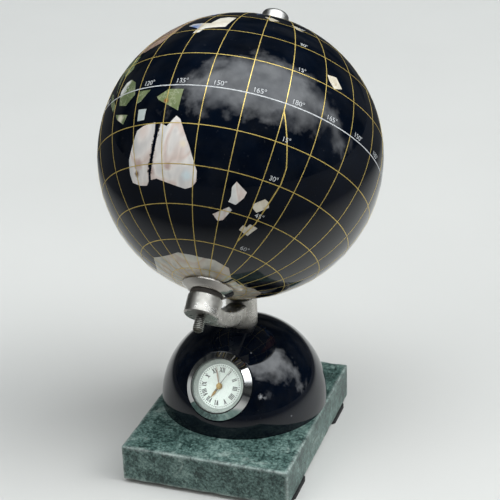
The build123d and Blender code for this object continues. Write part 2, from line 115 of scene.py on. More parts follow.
def editChosen(piece, kind, chosen, step):
    mesh = takeUp(piece).data
    bpy.context.tool_settings.mesh_select_mode = (False, kind == "EDGE", kind == "FACE")
    for items in (mesh.vertices, mesh.edges, mesh.polygons):
        items.foreach_set("select", [False] * len(items))
    for item in mesh.edges if kind == "EDGE" else mesh.polygons:
        item.select = chosen(item)
    bpy.ops.object.mode_set(mode="EDIT")
    step()
    bpy.ops.object.mode_set(mode="OBJECT")


def solidPiece(name, points, faces, edges=()):
    mesh = bpy.data.meshes.new(name)
    mesh.from_pydata(points, edges, faces)
    piece = bpy.data.objects.new(name, mesh)
    bpy.context.collection.objects.link(piece)
    return takeUp(piece)


def joined(name, parts):
    deselectAll()
    for part in parts:
        part.select_set(True)
    bpy.context.view_layer.objects.active = parts[0]
    if len(parts) > 1:
        bpy.ops.object.join()
    return named(name)


def settle(piece, place, body, material, sharpAngle=35, stands=()):
    piece.matrix_world = place @ piece.matrix_world
    takeUp(piece)
    bpy.ops.object.transform_apply(location=True, rotation=True, scale=True)
    bpy.ops.object.shade_smooth_by_angle(angle=math.radians(sharpAngle))
    piece.data.materials.clear()
    piece.data.materials.append(material)
    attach(piece, body)
    if stands:
        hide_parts(*stands)
    return piece


def copyOf(node, name):
    piece = bpy.data.objects.new(name, nodes[node].data.copy())
    bpy.context.collection.objects.link(piece)
    takeUp(piece)
    if piece.data.has_custom_normals:
        bpy.ops.mesh.customdata_custom_splitnormals_clear()
    editOp(piece, lambda: bpy.ops.mesh.remove_doubles(threshold=weld))
    return piece


def trueToBall(piece, centre, radius, cuts):
    slack = 0.08 * mm
    onBall = [abs((point.co - centre).length - radius) < slack for point in piece.data.vertices]
    editChosen(piece, "FACE", lambda face: all(onBall[index] for index in face.vertices),
               lambda: bpy.ops.mesh.subdivide(number_cuts=cuts))
    for point in piece.data.vertices:
        arm = point.co - centre
        if abs(arm.length - radius) < slack:
            point.co = centre + arm * (radius / arm.length)


# Shader helpers

def newMaterial(name):
    material = bpy.data.materials.new(name)
    material.use_nodes = True
    return material, material.node_tree, material.node_tree.nodes["Principled BSDF"]


def addNode(tree, kind, settings=None, **values):
    node = tree.nodes.new(kind)
    for key, value in (settings or {}).items():
        setattr(node, key, value)
    for key, value in values.items():
        node.inputs[key].default_value = value
    return node


# A value that is a socket is linked, and any other is set
def feed(tree, socket, value):
    if isinstance(value, bpy.types.NodeSocket):
        tree.links.new(value, socket)
    elif value is not None:
        socket.default_value = (*value, 1) if socket.type == "RGBA" else value


def objectPoint(tree, scale=(1, 1, 1), turn=(0, 0, 0)):
    source = addNode(tree, "ShaderNodeTexCoord")
    mapping = addNode(tree, "ShaderNodeMapping", Scale=scale, Rotation=turn)
    tree.links.new(source.outputs["Object"], mapping.inputs["Vector"])
    return mapping.outputs["Vector"]


def noise(tree, point, scale, detail=4.0, rough=0.55, warp=0.0):
    node = addNode(tree, "ShaderNodeTexNoise", Scale=scale, Detail=detail, Roughness=rough, Distortion=warp)
    tree.links.new(point, node.inputs["Vector"])
    return node.outputs["Fac"]


def ramp(tree, value, *stops):
    node = addNode(tree, "ShaderNodeValToRGB")
    band = node.color_ramp
    while len(band.elements) < len(stops):
        band.elements.new(0.5)
    for element, (place, colour) in zip(band.elements, stops):
        element.position = place
        element.color = (*colour, 1)
    tree.links.new(value, node.inputs["Fac"])
    return node.outputs["Color"]


def window(tree, value, low, high, outLow=0.0, outHigh=1.0):
    node = addNode(tree, "ShaderNodeMapRange", {"clamp": True})
    for index, number in enumerate((low, high, outLow, outHigh), start=1):
        node.inputs[index].default_value = number
    tree.links.new(value, node.inputs[0])
    return node.outputs[0]


def blended(tree, factor, first, second, mode="MIX"):
    node = addNode(tree, "ShaderNodeMix", {"data_type": "RGBA", "blend_type": mode})
    colourSockets = [socket for socket in node.inputs if socket.type == "RGBA"]
    for socket, value in zip((node.inputs[0], *colourSockets), (factor, first, second)):
        feed(tree, socket, value)
    return next(socket for socket in node.outputs if socket.type == "RGBA")


def sums(tree, kind, first, second=None):
    node = addNode(tree, "ShaderNodeMath", {"operation": kind})
    for socket, value in zip(node.inputs, (first, second)):
        feed(tree, socket, value)
    return node.outputs[0]


def vectorSums(tree, kind, first, second=None):
    node = addNode(tree, "ShaderNodeVectorMath", {"operation": kind})
    feed(tree, node.inputs[0], first)
    feed(tree, node.inputs["Scale" if kind == "SCALE" else 1], second)
    return node.outputs["Value" if kind in ("DISTANCE", "DOT_PRODUCT", "LENGTH") else "Vector"]


def awayFrom(tree, place):
    return vectorSums(tree, "DISTANCE", objectPoint(tree), place)


def plus(tree, base, mask, amount):
    return sums(tree, "ADD", base, sums(tree, "MULTIPLY", mask, amount))


def overlaid(tree, colour, mask, amount, tint):
    return blended(tree, sums(tree, "MULTIPLY", mask, amount), colour, tint)


def bump(tree, shader, height, depth, strength=1.0):
    node = addNode(tree, "ShaderNodeBump", Strength=strength, Distance=depth)
    tree.links.new(height, node.inputs["Height"])
    tree.links.new(node.outputs["Normal"], shader.inputs["Normal"])


def newGroup(name, inputs, outputs):
    group = bpy.data.node_groups.new(name, "ShaderNodeTree")
    for label, value in inputs.items():
        socket = group.interface.new_socket(label, in_out="INPUT", socket_type="NodeSocketFloat")
        socket.default_value = value
    for label in outputs:
        group.interface.new_socket(label, in_out="OUTPUT", socket_type="NodeSocketFloat")
    return group, addNode(group, "NodeGroupInput"), addNode(group, "NodeGroupOutput")


def useGroup(tree, group, **values):
    node = addNode(tree, "ShaderNodeGroup", {"node_tree": group})
    for label, value in values.items():
        node.inputs[label].default_value = value
    return node.outputs


def scaledPoint(group, entry, label):
    source = addNode(group, "ShaderNodeTexCoord")
    return vectorSums(group, "SCALE", source.outputs["Object"], entry.outputs[label])


# Marks of handling: greasy smudges, hairline scratches and dust
handling, entry, leave = newGroup("handlingMarks", {"Scale": 60.0}, ("Smudge", "Scratch", "Dust"))
point = scaledPoint(handling, entry, "Scale")
grease = noise(handling, point, scale=1.0, detail=5, rough=0.6, warp=0.6)
handling.links.new(window(handling, grease, 0.45, 0.72), leave.inputs["Smudge"])
stretched = addNode(handling, "ShaderNodeMapping", Scale=(22, 1.2, 5), Rotation=(0.5, 0.9, 0.4))
handling.links.new(point, stretched.inputs["Vector"])
hairlines = noise(handling, stretched.outputs["Vector"], scale=1.6, detail=3, rough=0.5)
handling.links.new(window(handling, hairlines, 0.68, 0.76), leave.inputs["Scratch"])
specks = noise(handling, point, scale=24.0, detail=2, rough=0.5)
handling.links.new(window(handling, specks, 0.7, 0.8), leave.inputs["Dust"])

# Body of a polished stone: cloudy colour, thin veins and small flecks
mottle, entry, leave = newGroup("stoneMottle", {"Scale": 120.0}, ("Cloud", "Vein", "Fleck"))
point = scaledPoint(mottle, entry, "Scale")
cloud = noise(mottle, point, scale=1.0, detail=6, rough=0.62, warp=0.8)
mottle.links.new(window(mottle, cloud, 0.3, 0.7), leave.inputs["Cloud"])
folded = noise(mottle, point, scale=0.7, detail=5, rough=0.6, warp=1.6)
ridge = sums(mottle, "ABSOLUTE", sums(mottle, "SUBTRACT", folded, 0.5))
mottle.links.new(window(mottle, ridge, 0.025, 0.0), leave.inputs["Vein"])
flecks = noise(mottle, point, scale=5.0, detail=3, rough=0.5)
mottle.links.new(window(mottle, flecks, 0.62, 0.72), leave.inputs["Fleck"])

# Skin of cast or turned metal: fine pits and patches of tarnish
metalSkin, entry, leave = newGroup("metalSkin", {"Scale": 400.0}, ("Pit", "Tarnish"))
point = scaledPoint(metalSkin, entry, "Scale")
grit = noise(metalSkin, point, scale=2.2, detail=4, rough=0.65)
metalSkin.links.new(window(metalSkin, grit, 0.35, 0.62), leave.inputs["Pit"])
dulled = noise(metalSkin, point, scale=0.22, detail=5, rough=0.6, warp=0.5)
metalSkin.links.new(window(metalSkin, dulled, 0.38, 0.68), leave.inputs["Tarnish"])


def lacquer(name, chips=()):
    material, tree, shader = newMaterial(name)
    marks = useGroup(tree, handling, Scale=55.0)
    depth = noise(tree, objectPoint(tree), scale=90.0, detail=4, rough=0.6)
    colour = ramp(tree, depth, (0.3, (0.0009, 0.0020, 0.0048)), (0.7, (0.0016, 0.0040, 0.0100)))
    colour = overlaid(tree, colour, marks["Dust"], 0.10, (0.30, 0.30, 0.32))
    rough = plus(tree, 0.035, marks["Smudge"], 0.09)
    rough = plus(tree, rough, marks["Scratch"], 0.10)
    for spot in chips:
        grain = noise(tree, objectPoint(tree), scale=spot["grain"], detail=4, rough=0.65)
        ragged = sums(tree, "MULTIPLY", grain, spot["size"] * 2)
        reach = sums(tree, "ADD", awayFrom(tree, spot["place"]), ragged)
        bare = window(tree, reach, spot["size"] * 1.9, spot["size"] * 1.2, outHigh=spot["bare"])
        colour = blended(tree, bare, colour, (0.36, 0.37, 0.38))
        rough = plus(tree, rough, bare, 0.5)
    tree.links.new(colour, shader.inputs["Base Color"])
    tree.links.new(rough, shader.inputs["Roughness"])
    shader.inputs["IOR"].default_value = 1.55
    return material


def tinted(tree, colour, patches):
    for longitude, latitude, size, tint in patches:
        ragged = sums(tree, "MULTIPLY", noise(tree, objectPoint(tree), scale=700.0, detail=3), size * 0.9)
        middle = globePlace @ onGlobe(longitude, latitude, globeRadius)
        reach = sums(tree, "ADD", awayFrom(tree, middle), ragged)
        colour = blended(tree, window(tree, reach, size * 1.7, size * 0.8), colour, tint)
    return colour


def alongSeam(tree, start, end, width, raggedness):
    first, last = (globePlace @ onGlobe(*spot, globeRadius) for spot in (start, end))
    run = last - first
    offset = vectorSums(tree, "SUBTRACT", objectPoint(tree), first)
    share = window(tree, vectorSums(tree, "DOT_PRODUCT", offset, run / run.length_squared), 0, 1)
    away = vectorSums(tree, "DISTANCE", offset, vectorSums(tree, "SCALE", run, share))
    grain = noise(tree, objectPoint(tree), scale=900.0, detail=4, rough=0.6)
    ragged = window(tree, grain, 0.25, 0.75, outLow=-raggedness, outHigh=raggedness)
    return window(tree, sums(tree, "ADD", away, ragged), width, width * 0.6)


def polishedStone(name, dark, light, vein, scale, veinAmount=0.4, fleck=None, patches=()):
    material, tree, shader = newMaterial(name)
    body = useGroup(tree, mottle, Scale=scale)
    fine = useGroup(tree, mottle, Scale=scale * 4.3)
    colour = blended(tree, body["Cloud"], dark, light)
    between = tuple((first + second) / 2.4 for first, second in zip(dark, light))
    colour = overlaid(tree, colour, fine["Cloud"], 0.4, between)
    colour = overlaid(tree, colour, body["Vein"], veinAmount, vein)
    if fleck:
        colour = overlaid(tree, colour, body["Fleck"], 0.5, fleck)
    colour = tinted(tree, colour, patches)
    marks = useGroup(tree, handling, Scale=80.0)
    tree.links.new(colour, shader.inputs["Base Color"])
    rough = plus(tree, 0.10, marks["Smudge"], 0.12)
    tree.links.new(rough, shader.inputs["Roughness"])
    shader.inputs["Coat Weight"].default_value = 0.3
    shader.inputs["Coat Roughness"].default_value = 0.04
    return material


def motherOfPearl(name, grey, patches=(), seam=None):
    material, tree, shader = newMaterial(name)
    point = objectPoint(tree, scale=(1, 1, 0.5), turn=(0.3, 0.2, 0.5))
    growth = noise(tree, point, scale=60.0, detail=2, rough=0.5, warp=1.2)
    colour = ramp(tree, growth, (0.30, (0.66, 0.68, 0.68)), (0.40, (0.90, 0.88, 0.85)),
                  (0.47, (0.82, 0.70, 0.64)), (0.54, (0.94, 0.93, 0.90)),
                  (0.64, (0.76, 0.78, 0.78)), (0.74, (0.88, 0.77, 0.73)))
    bands = addNode(tree, "ShaderNodeTexWave", Scale=70.0, Distortion=16.0, Detail=3.0)
    bands.inputs["Detail Scale"].default_value = 1.6
    tree.links.new(point, bands.inputs["Vector"])
    lines = window(tree, bands.outputs["Fac"], 0.1, 0.9, outLow=0.86)
    shade = addNode(tree, "ShaderNodeCombineColor")
    for socket in shade.inputs:
        tree.links.new(lines, socket)
    colour = blended(tree, 0.6, colour, shade.outputs[0], "MULTIPLY")
    colour = tinted(tree, blended(tree, 1.0, colour, grey, "MULTIPLY"), patches)
    if seam:
        colour = blended(tree, alongSeam(tree, **seam), colour, (0.020, 0.018, 0.016))
    tree.links.new(colour, shader.inputs["Base Color"])
    shader.inputs["Roughness"].default_value = 0.2
    shader.inputs["Metallic"].default_value = 0.1
    shader.inputs["Coat Weight"].default_value = 0.5
    shader.inputs["Coat Roughness"].default_value = 0.05
    shader.inputs["Thin Film Thickness"].default_value = 380.0
    shader.inputs["Thin Film IOR"].default_value = 1.5
    bump(tree, shader, bands.outputs["Fac"], depth=0.006 * mm)
    return material


def bareMetal(name, colour, tarnish, rough, pits, scale=400.0, tarnishAmount=0.5, turnedLines=0.0):
    material, tree, shader = newMaterial(name)
    skin = useGroup(tree, metalSkin, Scale=scale)
    mixed = overlaid(tree, colour, skin["Tarnish"], tarnishAmount, tarnish)
    tree.links.new(mixed, shader.inputs["Base Color"])
    height = sums(tree, "MULTIPLY", skin["Pit"], pits)
    gloss = plus(tree, rough, skin["Tarnish"], 0.12)
    if turnedLines:  # lathe lines run round the axle
        point = objectPoint(tree, turn=(axisTilt, 0, 0), scale=(0.0, 0.0, 1.0))
        lines = noise(tree, point, scale=9000.0, detail=2, rough=0.6)
        height = plus(tree, height, lines, turnedLines)
        gloss = plus(tree, gloss, lines, 0.15)
    tree.links.new(gloss, shader.inputs["Roughness"])
    bump(tree, shader, height, depth=0.05 * mm)
    shader.inputs["Metallic"].default_value = 1.0
    return material


def handMetal(name, blade, hub):
    material, tree, shader = newMaterial(name)
    away = awayFrom(tree, clockPlace @ Vector((0, 0, hub["height"])))
    skin = useGroup(tree, metalSkin, Scale=900.0)
    colour = blended(tree, window(tree, away, hub["radius"] * 1.15, hub["radius"]), blade, hub["colour"])
    dulled = tuple(channel * 0.6 for channel in blade)
    colour = overlaid(tree, colour, skin["Tarnish"], 0.4, dulled)
    tree.links.new(colour, shader.inputs["Base Color"])
    tree.links.new(window(tree, skin["Pit"], 0.0, 1.0, outLow=0.22, outHigh=0.36), shader.inputs["Roughness"])
    shader.inputs["Metallic"].default_value = 0.7
    return material


def threadMetal(name, light, grooveShade, crest, root):
    material, tree, shader = newMaterial(name)
    point = addNode(tree, "ShaderNodeMapping", {"vector_type": "TEXTURE"}, Location=globeCentre,
                    Rotation=(-axisTilt, 0, 0))
    tree.links.new(objectPoint(tree), point.inputs["Vector"])
    fromAxis = vectorSums(tree, "LENGTH", vectorSums(tree, "MULTIPLY", point.outputs["Vector"], (1, 1, 0)))
    skin = useGroup(tree, metalSkin, Scale=700.0)
    # Painted shade: the thread's roots are coloured dark and its crests light, and the tarnish patches take the
    # same dark colour
    edge = window(tree, fromAxis, root, crest)
    colour = blended(tree, edge, grooveShade, light)
    colour = overlaid(tree, colour, skin["Tarnish"], 0.4, grooveShade)
    tree.links.new(colour, shader.inputs["Base Color"])
    tree.links.new(window(tree, edge, 0.0, 1.0, outLow=0.55, outHigh=0.3), shader.inputs["Roughness"])
    shader.inputs["Metallic"].default_value = 0.9
    return material


def mouldedPlastic(name, colour, rough, grain=0.02, scale=900.0):
    material, tree, shader = newMaterial(name)
    skin = useGroup(tree, metalSkin, Scale=scale)
    shaded = tuple(channel * 0.8 for channel in colour)
    tree.links.new(blended(tree, skin["Tarnish"], colour, shaded), shader.inputs["Base Color"])
    tree.links.new(plus(tree, rough, skin["Pit"], 0.1), shader.inputs["Roughness"])
    bump(tree, shader, skin["Pit"], depth=grain * mm)
    return material


def serpentine(name):
    material, tree, shader = newMaterial(name)
    broad = noise(tree, objectPoint(tree), scale=75.0, detail=5, rough=0.65, warp=0.6)
    middle = noise(tree, objectPoint(tree, turn=(0.4, 0.2, 0.9)), scale=330.0, detail=5, rough=0.7, warp=0.9)
    grain = noise(tree, objectPoint(tree), scale=950.0, detail=4, rough=0.7, warp=0.3)
    mixed = sums(tree, "ADD", sums(tree, "MULTIPLY", broad, 0.30), sums(tree, "MULTIPLY", middle, 0.28))
    mixed = plus(tree, mixed, grain, 0.42)
    colour = ramp(tree, mixed, (0.435, (0.010, 0.026, 0.023)), (0.48, (0.042, 0.083, 0.074)),
                  (0.52, (0.080, 0.141, 0.125)), (0.60, (0.195, 0.285, 0.255)))
    veins = useGroup(tree, mottle, Scale=26.0)
    veined = sums(tree, "MULTIPLY", veins["Vein"], window(tree, broad, 0.5, 0.62, outHigh=0.5))
    colour = blended(tree, veined, colour, (0.36, 0.43, 0.39))
    worn = addNode(tree, "ShaderNodeAttribute", {"attribute_name": "edgeWear"}).outputs["Fac"]
    chipped = sums(tree, "MULTIPLY", worn, window(tree, middle, 0.35, 0.65, outLow=0.2))
    colour = blended(tree, chipped, colour, (0.44, 0.50, 0.47))
    marks = useGroup(tree, handling, Scale=70.0)
    colour = overlaid(tree, colour, marks["Scratch"], 0.35, (0.40, 0.46, 0.43))
    tree.links.new(colour, shader.inputs["Base Color"])
    rough = plus(tree, 0.26, grain, 0.3)
    rough = plus(tree, rough, worn, 0.25)
    tree.links.new(rough, shader.inputs["Roughness"])
    bump(tree, shader, grain, depth=0.12 * mm, strength=0.7)
    return material


def printedInk(name, colour, metallic, rough):
    material, tree, shader = newMaterial(name)
    worn = noise(tree, objectPoint(tree), scale=700.0, detail=3, rough=0.6)
    faded = tuple(channel * 0.62 for channel in colour)
    tree.links.new(ramp(tree, worn, (0.3, faded), (0.55, colour)), shader.inputs["Base Color"])
    tree.links.new(window(tree, worn, 0.2, 0.8, rough + 0.15, rough), shader.inputs["Roughness"])
    shader.inputs["Metallic"].default_value = metallic
    return material


def watchGlass(name):
    material, tree, shader = newMaterial(name)
    marks = useGroup(tree, handling, Scale=120.0)
    rough = sums(tree, "MULTIPLY", marks["Smudge"], 0.03)
    tree.links.new(rough, shader.inputs["Roughness"])
    shader.inputs["Base Color"].default_value = (0.97, 0.99, 0.98, 1)
    shader.inputs["Transmission Weight"].default_value = 1.0
    shader.inputs["IOR"].default_value = 1.45
    clear = addNode(tree, "ShaderNodeBsdfTransparent")
    path = addNode(tree, "ShaderNodeLightPath")
    mix = addNode(tree, "ShaderNodeMixShader")
    tree.links.new(path.outputs["Is Shadow Ray"], mix.inputs[0])
    tree.links.new(shader.outputs[0], mix.inputs[1])
    tree.links.new(clear.outputs[0], mix.inputs[2])
    tree.links.new(mix.outputs[0], tree.nodes["Material Output"].inputs["Surface"])
    return material


# Sizes and places that a finish needs as well as its piece
domeChips = [dict(place=(0.0158, -0.0307, 0.0331), size=1.3 * mm, grain=1300.0, bare=0.9),
             dict(place=(0.0176, -0.0300, 0.0327), size=0.9 * mm, grain=1700.0, bare=0.45),
             dict(place=(0.0188, -0.0292, 0.0334), size=2.4 * mm, grain=900.0, bare=0.10),
             dict(place=(0.0090, -0.0208, 0.0464), size=0.5 * mm, grain=2000.0, bare=0.5),
             dict(place=(0.0266, -0.0253, 0.0232), size=0.4 * mm, grain=2000.0, bare=0.5)]
thread = dict(pitch=0.7 * mm, root=1.6 * mm, crest=2.0 * mm, tipChamfer=0.4 * mm, length=19.0 * mm, steps=36,
              sunk=0.05 * mm,
              crestFrom=0.42, crestTo=0.52, toothEnd=0.94)  # shares of the pitch
handHub = dict(height=1.2 * mm, radius=1.25 * mm, colour=(0.46, 0.31, 0.095))
finishes = {
    "marble": serpentine("greenSerpentine"),
    "foot_rubber": mouldedPlastic("blackRubber", (0.016, 0.016, 0.017), rough=0.75, grain=0.08, scale=600.0),
    "lacquer": lacquer("midnightLacquer"),
    "steel": bareMetal("boltSteel", (0.55, 0.55, 0.54), (0.30, 0.28, 0.25), rough=0.3, pits=0.2),
    "nickel": bareMetal("castNickel", (0.60, 0.58, 0.54), (0.36, 0.34, 0.30), rough=0.25, pits=0.75,
                        scale=1100.0, tarnishAmount=0.55),
    # The second colour is painted shade for the thread's roots
    "zinc_rod": threadMetal("zincThread", (0.62, 0.62, 0.58), (0.09, 0.085, 0.07),
                            crest=thread["crest"], root=thread["root"]),
    "fibre": mouldedPlastic("fibreWasher", (0.05, 0.044, 0.038), rough=0.7, grain=0.05),
    "brushed_knob": bareMetal("brushedKnob", (0.58, 0.57, 0.55), (0.40, 0.39, 0.36), rough=0.26, pits=0.1,
                              scale=500.0, tarnishAmount=0.3, turnedLines=0.35),
    "bush_plastic": mouldedPlastic("whiteNylon", (0.74, 0.73, 0.69), rough=0.45),
    "case_metal": bareMetal("clockCaseBrass", (0.74, 0.62, 0.38), (0.40, 0.30, 0.16), rough=0.28, pits=0.15),
    "case_plastic": mouldedPlastic("blackPlastic", (0.035, 0.035, 0.036), rough=0.42),
    "bezel_chrome": bareMetal("bezelChrome", (0.80, 0.80, 0.79), (0.58, 0.57, 0.55), rough=0.05, pits=0.04,
                              scale=300.0, tarnishAmount=0.35),
    "gasket_rubber": mouldedPlastic("gasketRubber", (0.025, 0.025, 0.025), rough=0.7, grain=0.05),
    "dial_white": mouldedPlastic("dialEnamel", (0.86, 0.94, 0.89), rough=0.38, grain=0.004, scale=500.0),
    "dial_silver": mouldedPlastic("silverRing", (0.36, 0.41, 0.38), rough=0.16, grain=0.003, scale=500.0),
    "glass": watchGlass("watchGlass"),
    "brass_strip": bareMetal("brassStrip", (0.70, 0.52, 0.24), (0.36, 0.25, 0.11), rough=0.28, pits=0.15),
    "gilt": handMetal("giltHands", (0.30, 0.19, 0.055), handHub),
    "knob_plastic": mouldedPlastic("knobPlastic", (0.66, 0.66, 0.64), rough=0.4),
    "pearl": motherOfPearl("whitePearl", (0.96, 0.95, 0.93)),
    "jade": polishedStone("oliveJade", (0.085, 0.125, 0.050), (0.26, 0.32, 0.16), (0.48, 0.50, 0.34),
                          scale=150.0, veinAmount=0.5, fleck=(0.20, 0.19, 0.08)),
    "cream_stone": polishedStone("creamAgate", (0.55, 0.48, 0.35), (0.82, 0.78, 0.66), (0.90, 0.88, 0.80),
                                 scale=130.0, fleck=(0.42, 0.30, 0.17)),
    "red_jasper": polishedStone("redJasper", (0.16, 0.035, 0.022), (0.36, 0.10, 0.06), (0.55, 0.36, 0.28),
                                scale=160.0, veinAmount=0.6),
    "blue_stone": polishedStone("blueSodalite", (0.02, 0.05, 0.17), (0.07, 0.15, 0.36), (0.55, 0.60, 0.66),
                                scale=150.0, veinAmount=0.7),
    "tan_stone": polishedStone("tanJasper", (0.26, 0.15, 0.07), (0.52, 0.38, 0.22), (0.68, 0.58, 0.44),
                               scale=140.0, veinAmount=0.5, fleck=(0.16, 0.07, 0.03)),
}

# Pieces with a finish of their own. A stone's patches are longitude, latitude, size and colour
paleWhite, rust, skyBlue = (0.78, 0.78, 0.72), (0.30, 0.11, 0.04), (0.16, 0.24, 0.46)
umber, blush = (0.20, 0.11, 0.06), (0.58, 0.44, 0.39)
# Patches on the southern pearl: an umber stain and pink clouding, then a painted yellow shimmer and a painted cyan
# highlight
southStainsAndSheen = [(120.2, -33.0, 1.2 * mm, umber), (121.8, -29.5, 2.2 * mm, blush),
               (128.6, -32.6, 1.7 * mm, blush), (137.5, -31.0, 1.5 * mm, blush),
               (144.5, -22.5, 1.4 * mm, (0.90, 0.80, 0.64)), (147.0, -34.0, 2.0 * mm, (0.74, 0.84, 0.86))]
southSeam = dict(start=(132.9, -15.5), end=(128.1, -32.5), width=1.15 * mm, raggedness=0.6 * mm)
sundaStains = [(107.6, 2.2, 2.6 * mm, paleWhite), (110.5, 5.2, 2.0 * mm, paleWhite),
               (110.6, -10.3, 2.0 * mm, (0.70, 0.68, 0.54))]
japanPatches = [(131.0, 32.4, 3.4 * mm, skyBlue), (138.0, 30.2, 2.4 * mm, paleWhite)]
ownFinish = {
    "dome": lacquer("domeLacquer", domeChips),
    "stones_antarctica": motherOfPearl("polarPearl", (0.86, 0.84, 0.75)),
    "stones_australia": motherOfPearl("southPearl", (0.97, 0.94, 0.92), southStainsAndSheen, southSeam),
    "stone_new_guinea": polishedStone("islandJade", (0.095, 0.135, 0.050), (0.29, 0.34, 0.17),
                                      (0.50, 0.52, 0.36), scale=120.0, veinAmount=0.5,
                                      fleck=(0.22, 0.20, 0.09), patches=[(134.8, -6.4, 1.0 * mm, rust)]),
    "stones_sunda": polishedStone("streakedJade", (0.075, 0.110, 0.045), (0.24, 0.29, 0.15),
                                  (0.46, 0.48, 0.34), scale=140.0, veinAmount=0.5, patches=sundaStains),
    "stone_japan": polishedStone("twoToneAgate", (0.62, 0.56, 0.44), (0.84, 0.81, 0.72), (0.90, 0.88, 0.82),
                                 scale=130.0, patches=japanPatches),
    "stone_china": polishedStone("sandJasper", (0.26, 0.15, 0.10), (0.52, 0.38, 0.29), (0.66, 0.52, 0.42),
                                 scale=150.0, veinAmount=0.5),
    "stone_timor": motherOfPearl("palePearl", (0.86, 0.93, 0.90)),
    "south_cup": bareMetal("platedCup", (0.62, 0.59, 0.55), (0.34, 0.31, 0.28), rough=0.08, pits=0.10,
                           scale=500.0, tarnishAmount=0.6),
    "minute_hand": handMetal("paleGilt", (0.30, 0.235, 0.19), handHub),
    "second_hand": handMetal("darkGilt", (0.10, 0.09, 0.07), handHub),
}
goldInk = printedInk("goldInk", (0.80, 0.60, 0.17), metallic=0.45, rough=0.25)
whiteInk = printedInk("whiteInk", (0.60, 0.62, 0.63), metallic=0.0, rough=0.4)
blackInk = printedInk("blackInk", (0.010, 0.013, 0.014), metallic=0.0, rough=0.5)
print("materials made:", len(bpy.data.materials))


def finishOf(node):
    return ownFinish.get(node, finishes[slotOfNode[node]])


# CAD nodes that stay as they are get their slot's finish
for node, piece in nodes.items():
    piece.data.materials.clear()
    piece.data.materials.append(finishes[slotOfNode[node]])


# Globe: ball and cut stones, their outer faces brought onto the true sphere
globeBall = dict(cuts=1, stoneCuts=2, sharp=25)
ball = copyOf("globe_shell", "globe_ball")
trueToBall(ball, globeCentre, globeRadius, globeBall["cuts"])
settle(ball, asBuilt, "globe", finishes["lacquer"], globeBall["sharp"], ["globe_shell"])
stoneNodes = [node for node in nodes if node.startswith("stone")]
for node in stoneNodes:
    stone = copyOf(node, node + "_polished")
    trueToBall(stone, globeCentre, globeRadius, globeBall["stoneCuts"])
    settle(stone, asBuilt, "globe", finishOf(node), globeBall["sharp"], [node])
print("globe and", len(stoneNodes), "groups of stones polished")


# Printed lines: gold graticule, white equator, gold date line
mapLines = dict(step=15, lastParallel=75, width=0.30 * mm, proud=0.035 * mm, sunk=0.05 * mm, segments=180,
                northEnd=84.0, southEnd=-81.0, equatorWidth=0.42 * mm, equatorProud=0.0455 * mm)


def bandAlong(latitude, width, proud):
    half = math.degrees(width / globeRadius) / 2
    edges = [onGlobe(0, latitude + side, globeRadius + proud) for side in (-half, half)]
    bpy.ops.mesh.primitive_cone_add(vertices=mapLines["segments"], radius1=edges[0].x, radius2=edges[1].x,
                                    depth=edges[1].z - edges[0].z, end_fill_type="NOTHING",
                                    location=(0, 0, (edges[0].z + edges[1].z) / 2))
    bpy.ops.object.transform_apply(location=True, rotation=True, scale=True)
    return bpy.context.object


def circleThroughPoles(longitude):
    bpy.ops.mesh.primitive_cylinder_add(vertices=mapLines["segments"], radius=globeRadius + mapLines["proud"],
                                        depth=mapLines["width"], end_fill_type="NOTHING",
                                        rotation=(math.pi / 2, 0, math.radians(longitude)))
    bpy.ops.object.transform_apply(location=True, rotation=True, scale=True)
    piece = bpy.context.object

    def pastEnds(face):
        latitude = math.degrees(math.asin(max(-1, min(1, face.center.z / face.center.length))))
        return not mapLines["southEnd"] < latitude < mapLines["northEnd"]

    editChosen(piece, "FACE", pastEnds, lambda: bpy.ops.mesh.delete(type="FACE"))
    return piece


def inkLayer(piece, depth):
    layer = piece.modifiers.new("layer", "SOLIDIFY")
    layer.thickness = depth
    layer.offset = -1
    applyAll(piece)
    return piece


deselectAll()
lineDepth = mapLines["proud"] + mapLines["sunk"]
parallels = range(-mapLines["lastParallel"], mapLines["lastParallel"] + 1, mapLines["step"])
lines = [bandAlong(latitude, mapLines["width"], mapLines["proud"]) for latitude in parallels if latitude]
lines += [circleThroughPoles(longitude) for longitude in range(0, 180, mapLines["step"])]
graticule = inkLayer(joined("graticule_lines", lines), lineDepth)
settle(graticule, globePlace, "globe", goldInk)
band = bandAlong(0, mapLines["equatorWidth"], mapLines["equatorProud"])
equator = inkLayer(joined("equator_line", [band]), lineDepth)
settle(equator, globePlace, "globe", whiteInk)

dateLine = dict(width=0.42 * mm, piecesPerRun=6,
                corners=[(180, -2.9), (184, -13), (187.6, -23), (188, -29), (185, -46.6), (180, -56)])
rails = []
lineRadius = globeRadius + mapLines["proud"]
for start, end in zip(dateLine["corners"], dateLine["corners"][1:]):
    for step in range(dateLine["piecesPerRun"] + 1):
        share = step / dateLine["piecesPerRun"]
        spot = onGlobe(start[0] + (end[0] - start[0]) * share, start[1] + (end[1] - start[1]) * share, 1)
        ahead = onGlobe(*end, 1) - onGlobe(*start, 1)
        side = spot.cross(ahead).normalized() * dateLine["width"] / 2
        rails += [spot * lineRadius + side, spot * lineRadius - side]
quads = [(index, index + 1, index + 3, index + 2) for index in range(0, len(rails) - 2, 2)]
dated = solidPiece("date_line", rails, quads)
editOp(dated, lambda: bpy.ops.mesh.remove_doubles(threshold=fineWeld), turnOutward)
settle(inkLayer(dated, lineDepth), globePlace, "globe", goldInk)

# Degree figures beside their lines
figures = dict(size=2.7 * mm, parallelSize=2.43 * mm, east=1.9 * mm, above=0.9 * mm, depth=0.04 * mm,
               columns=(0, 180))


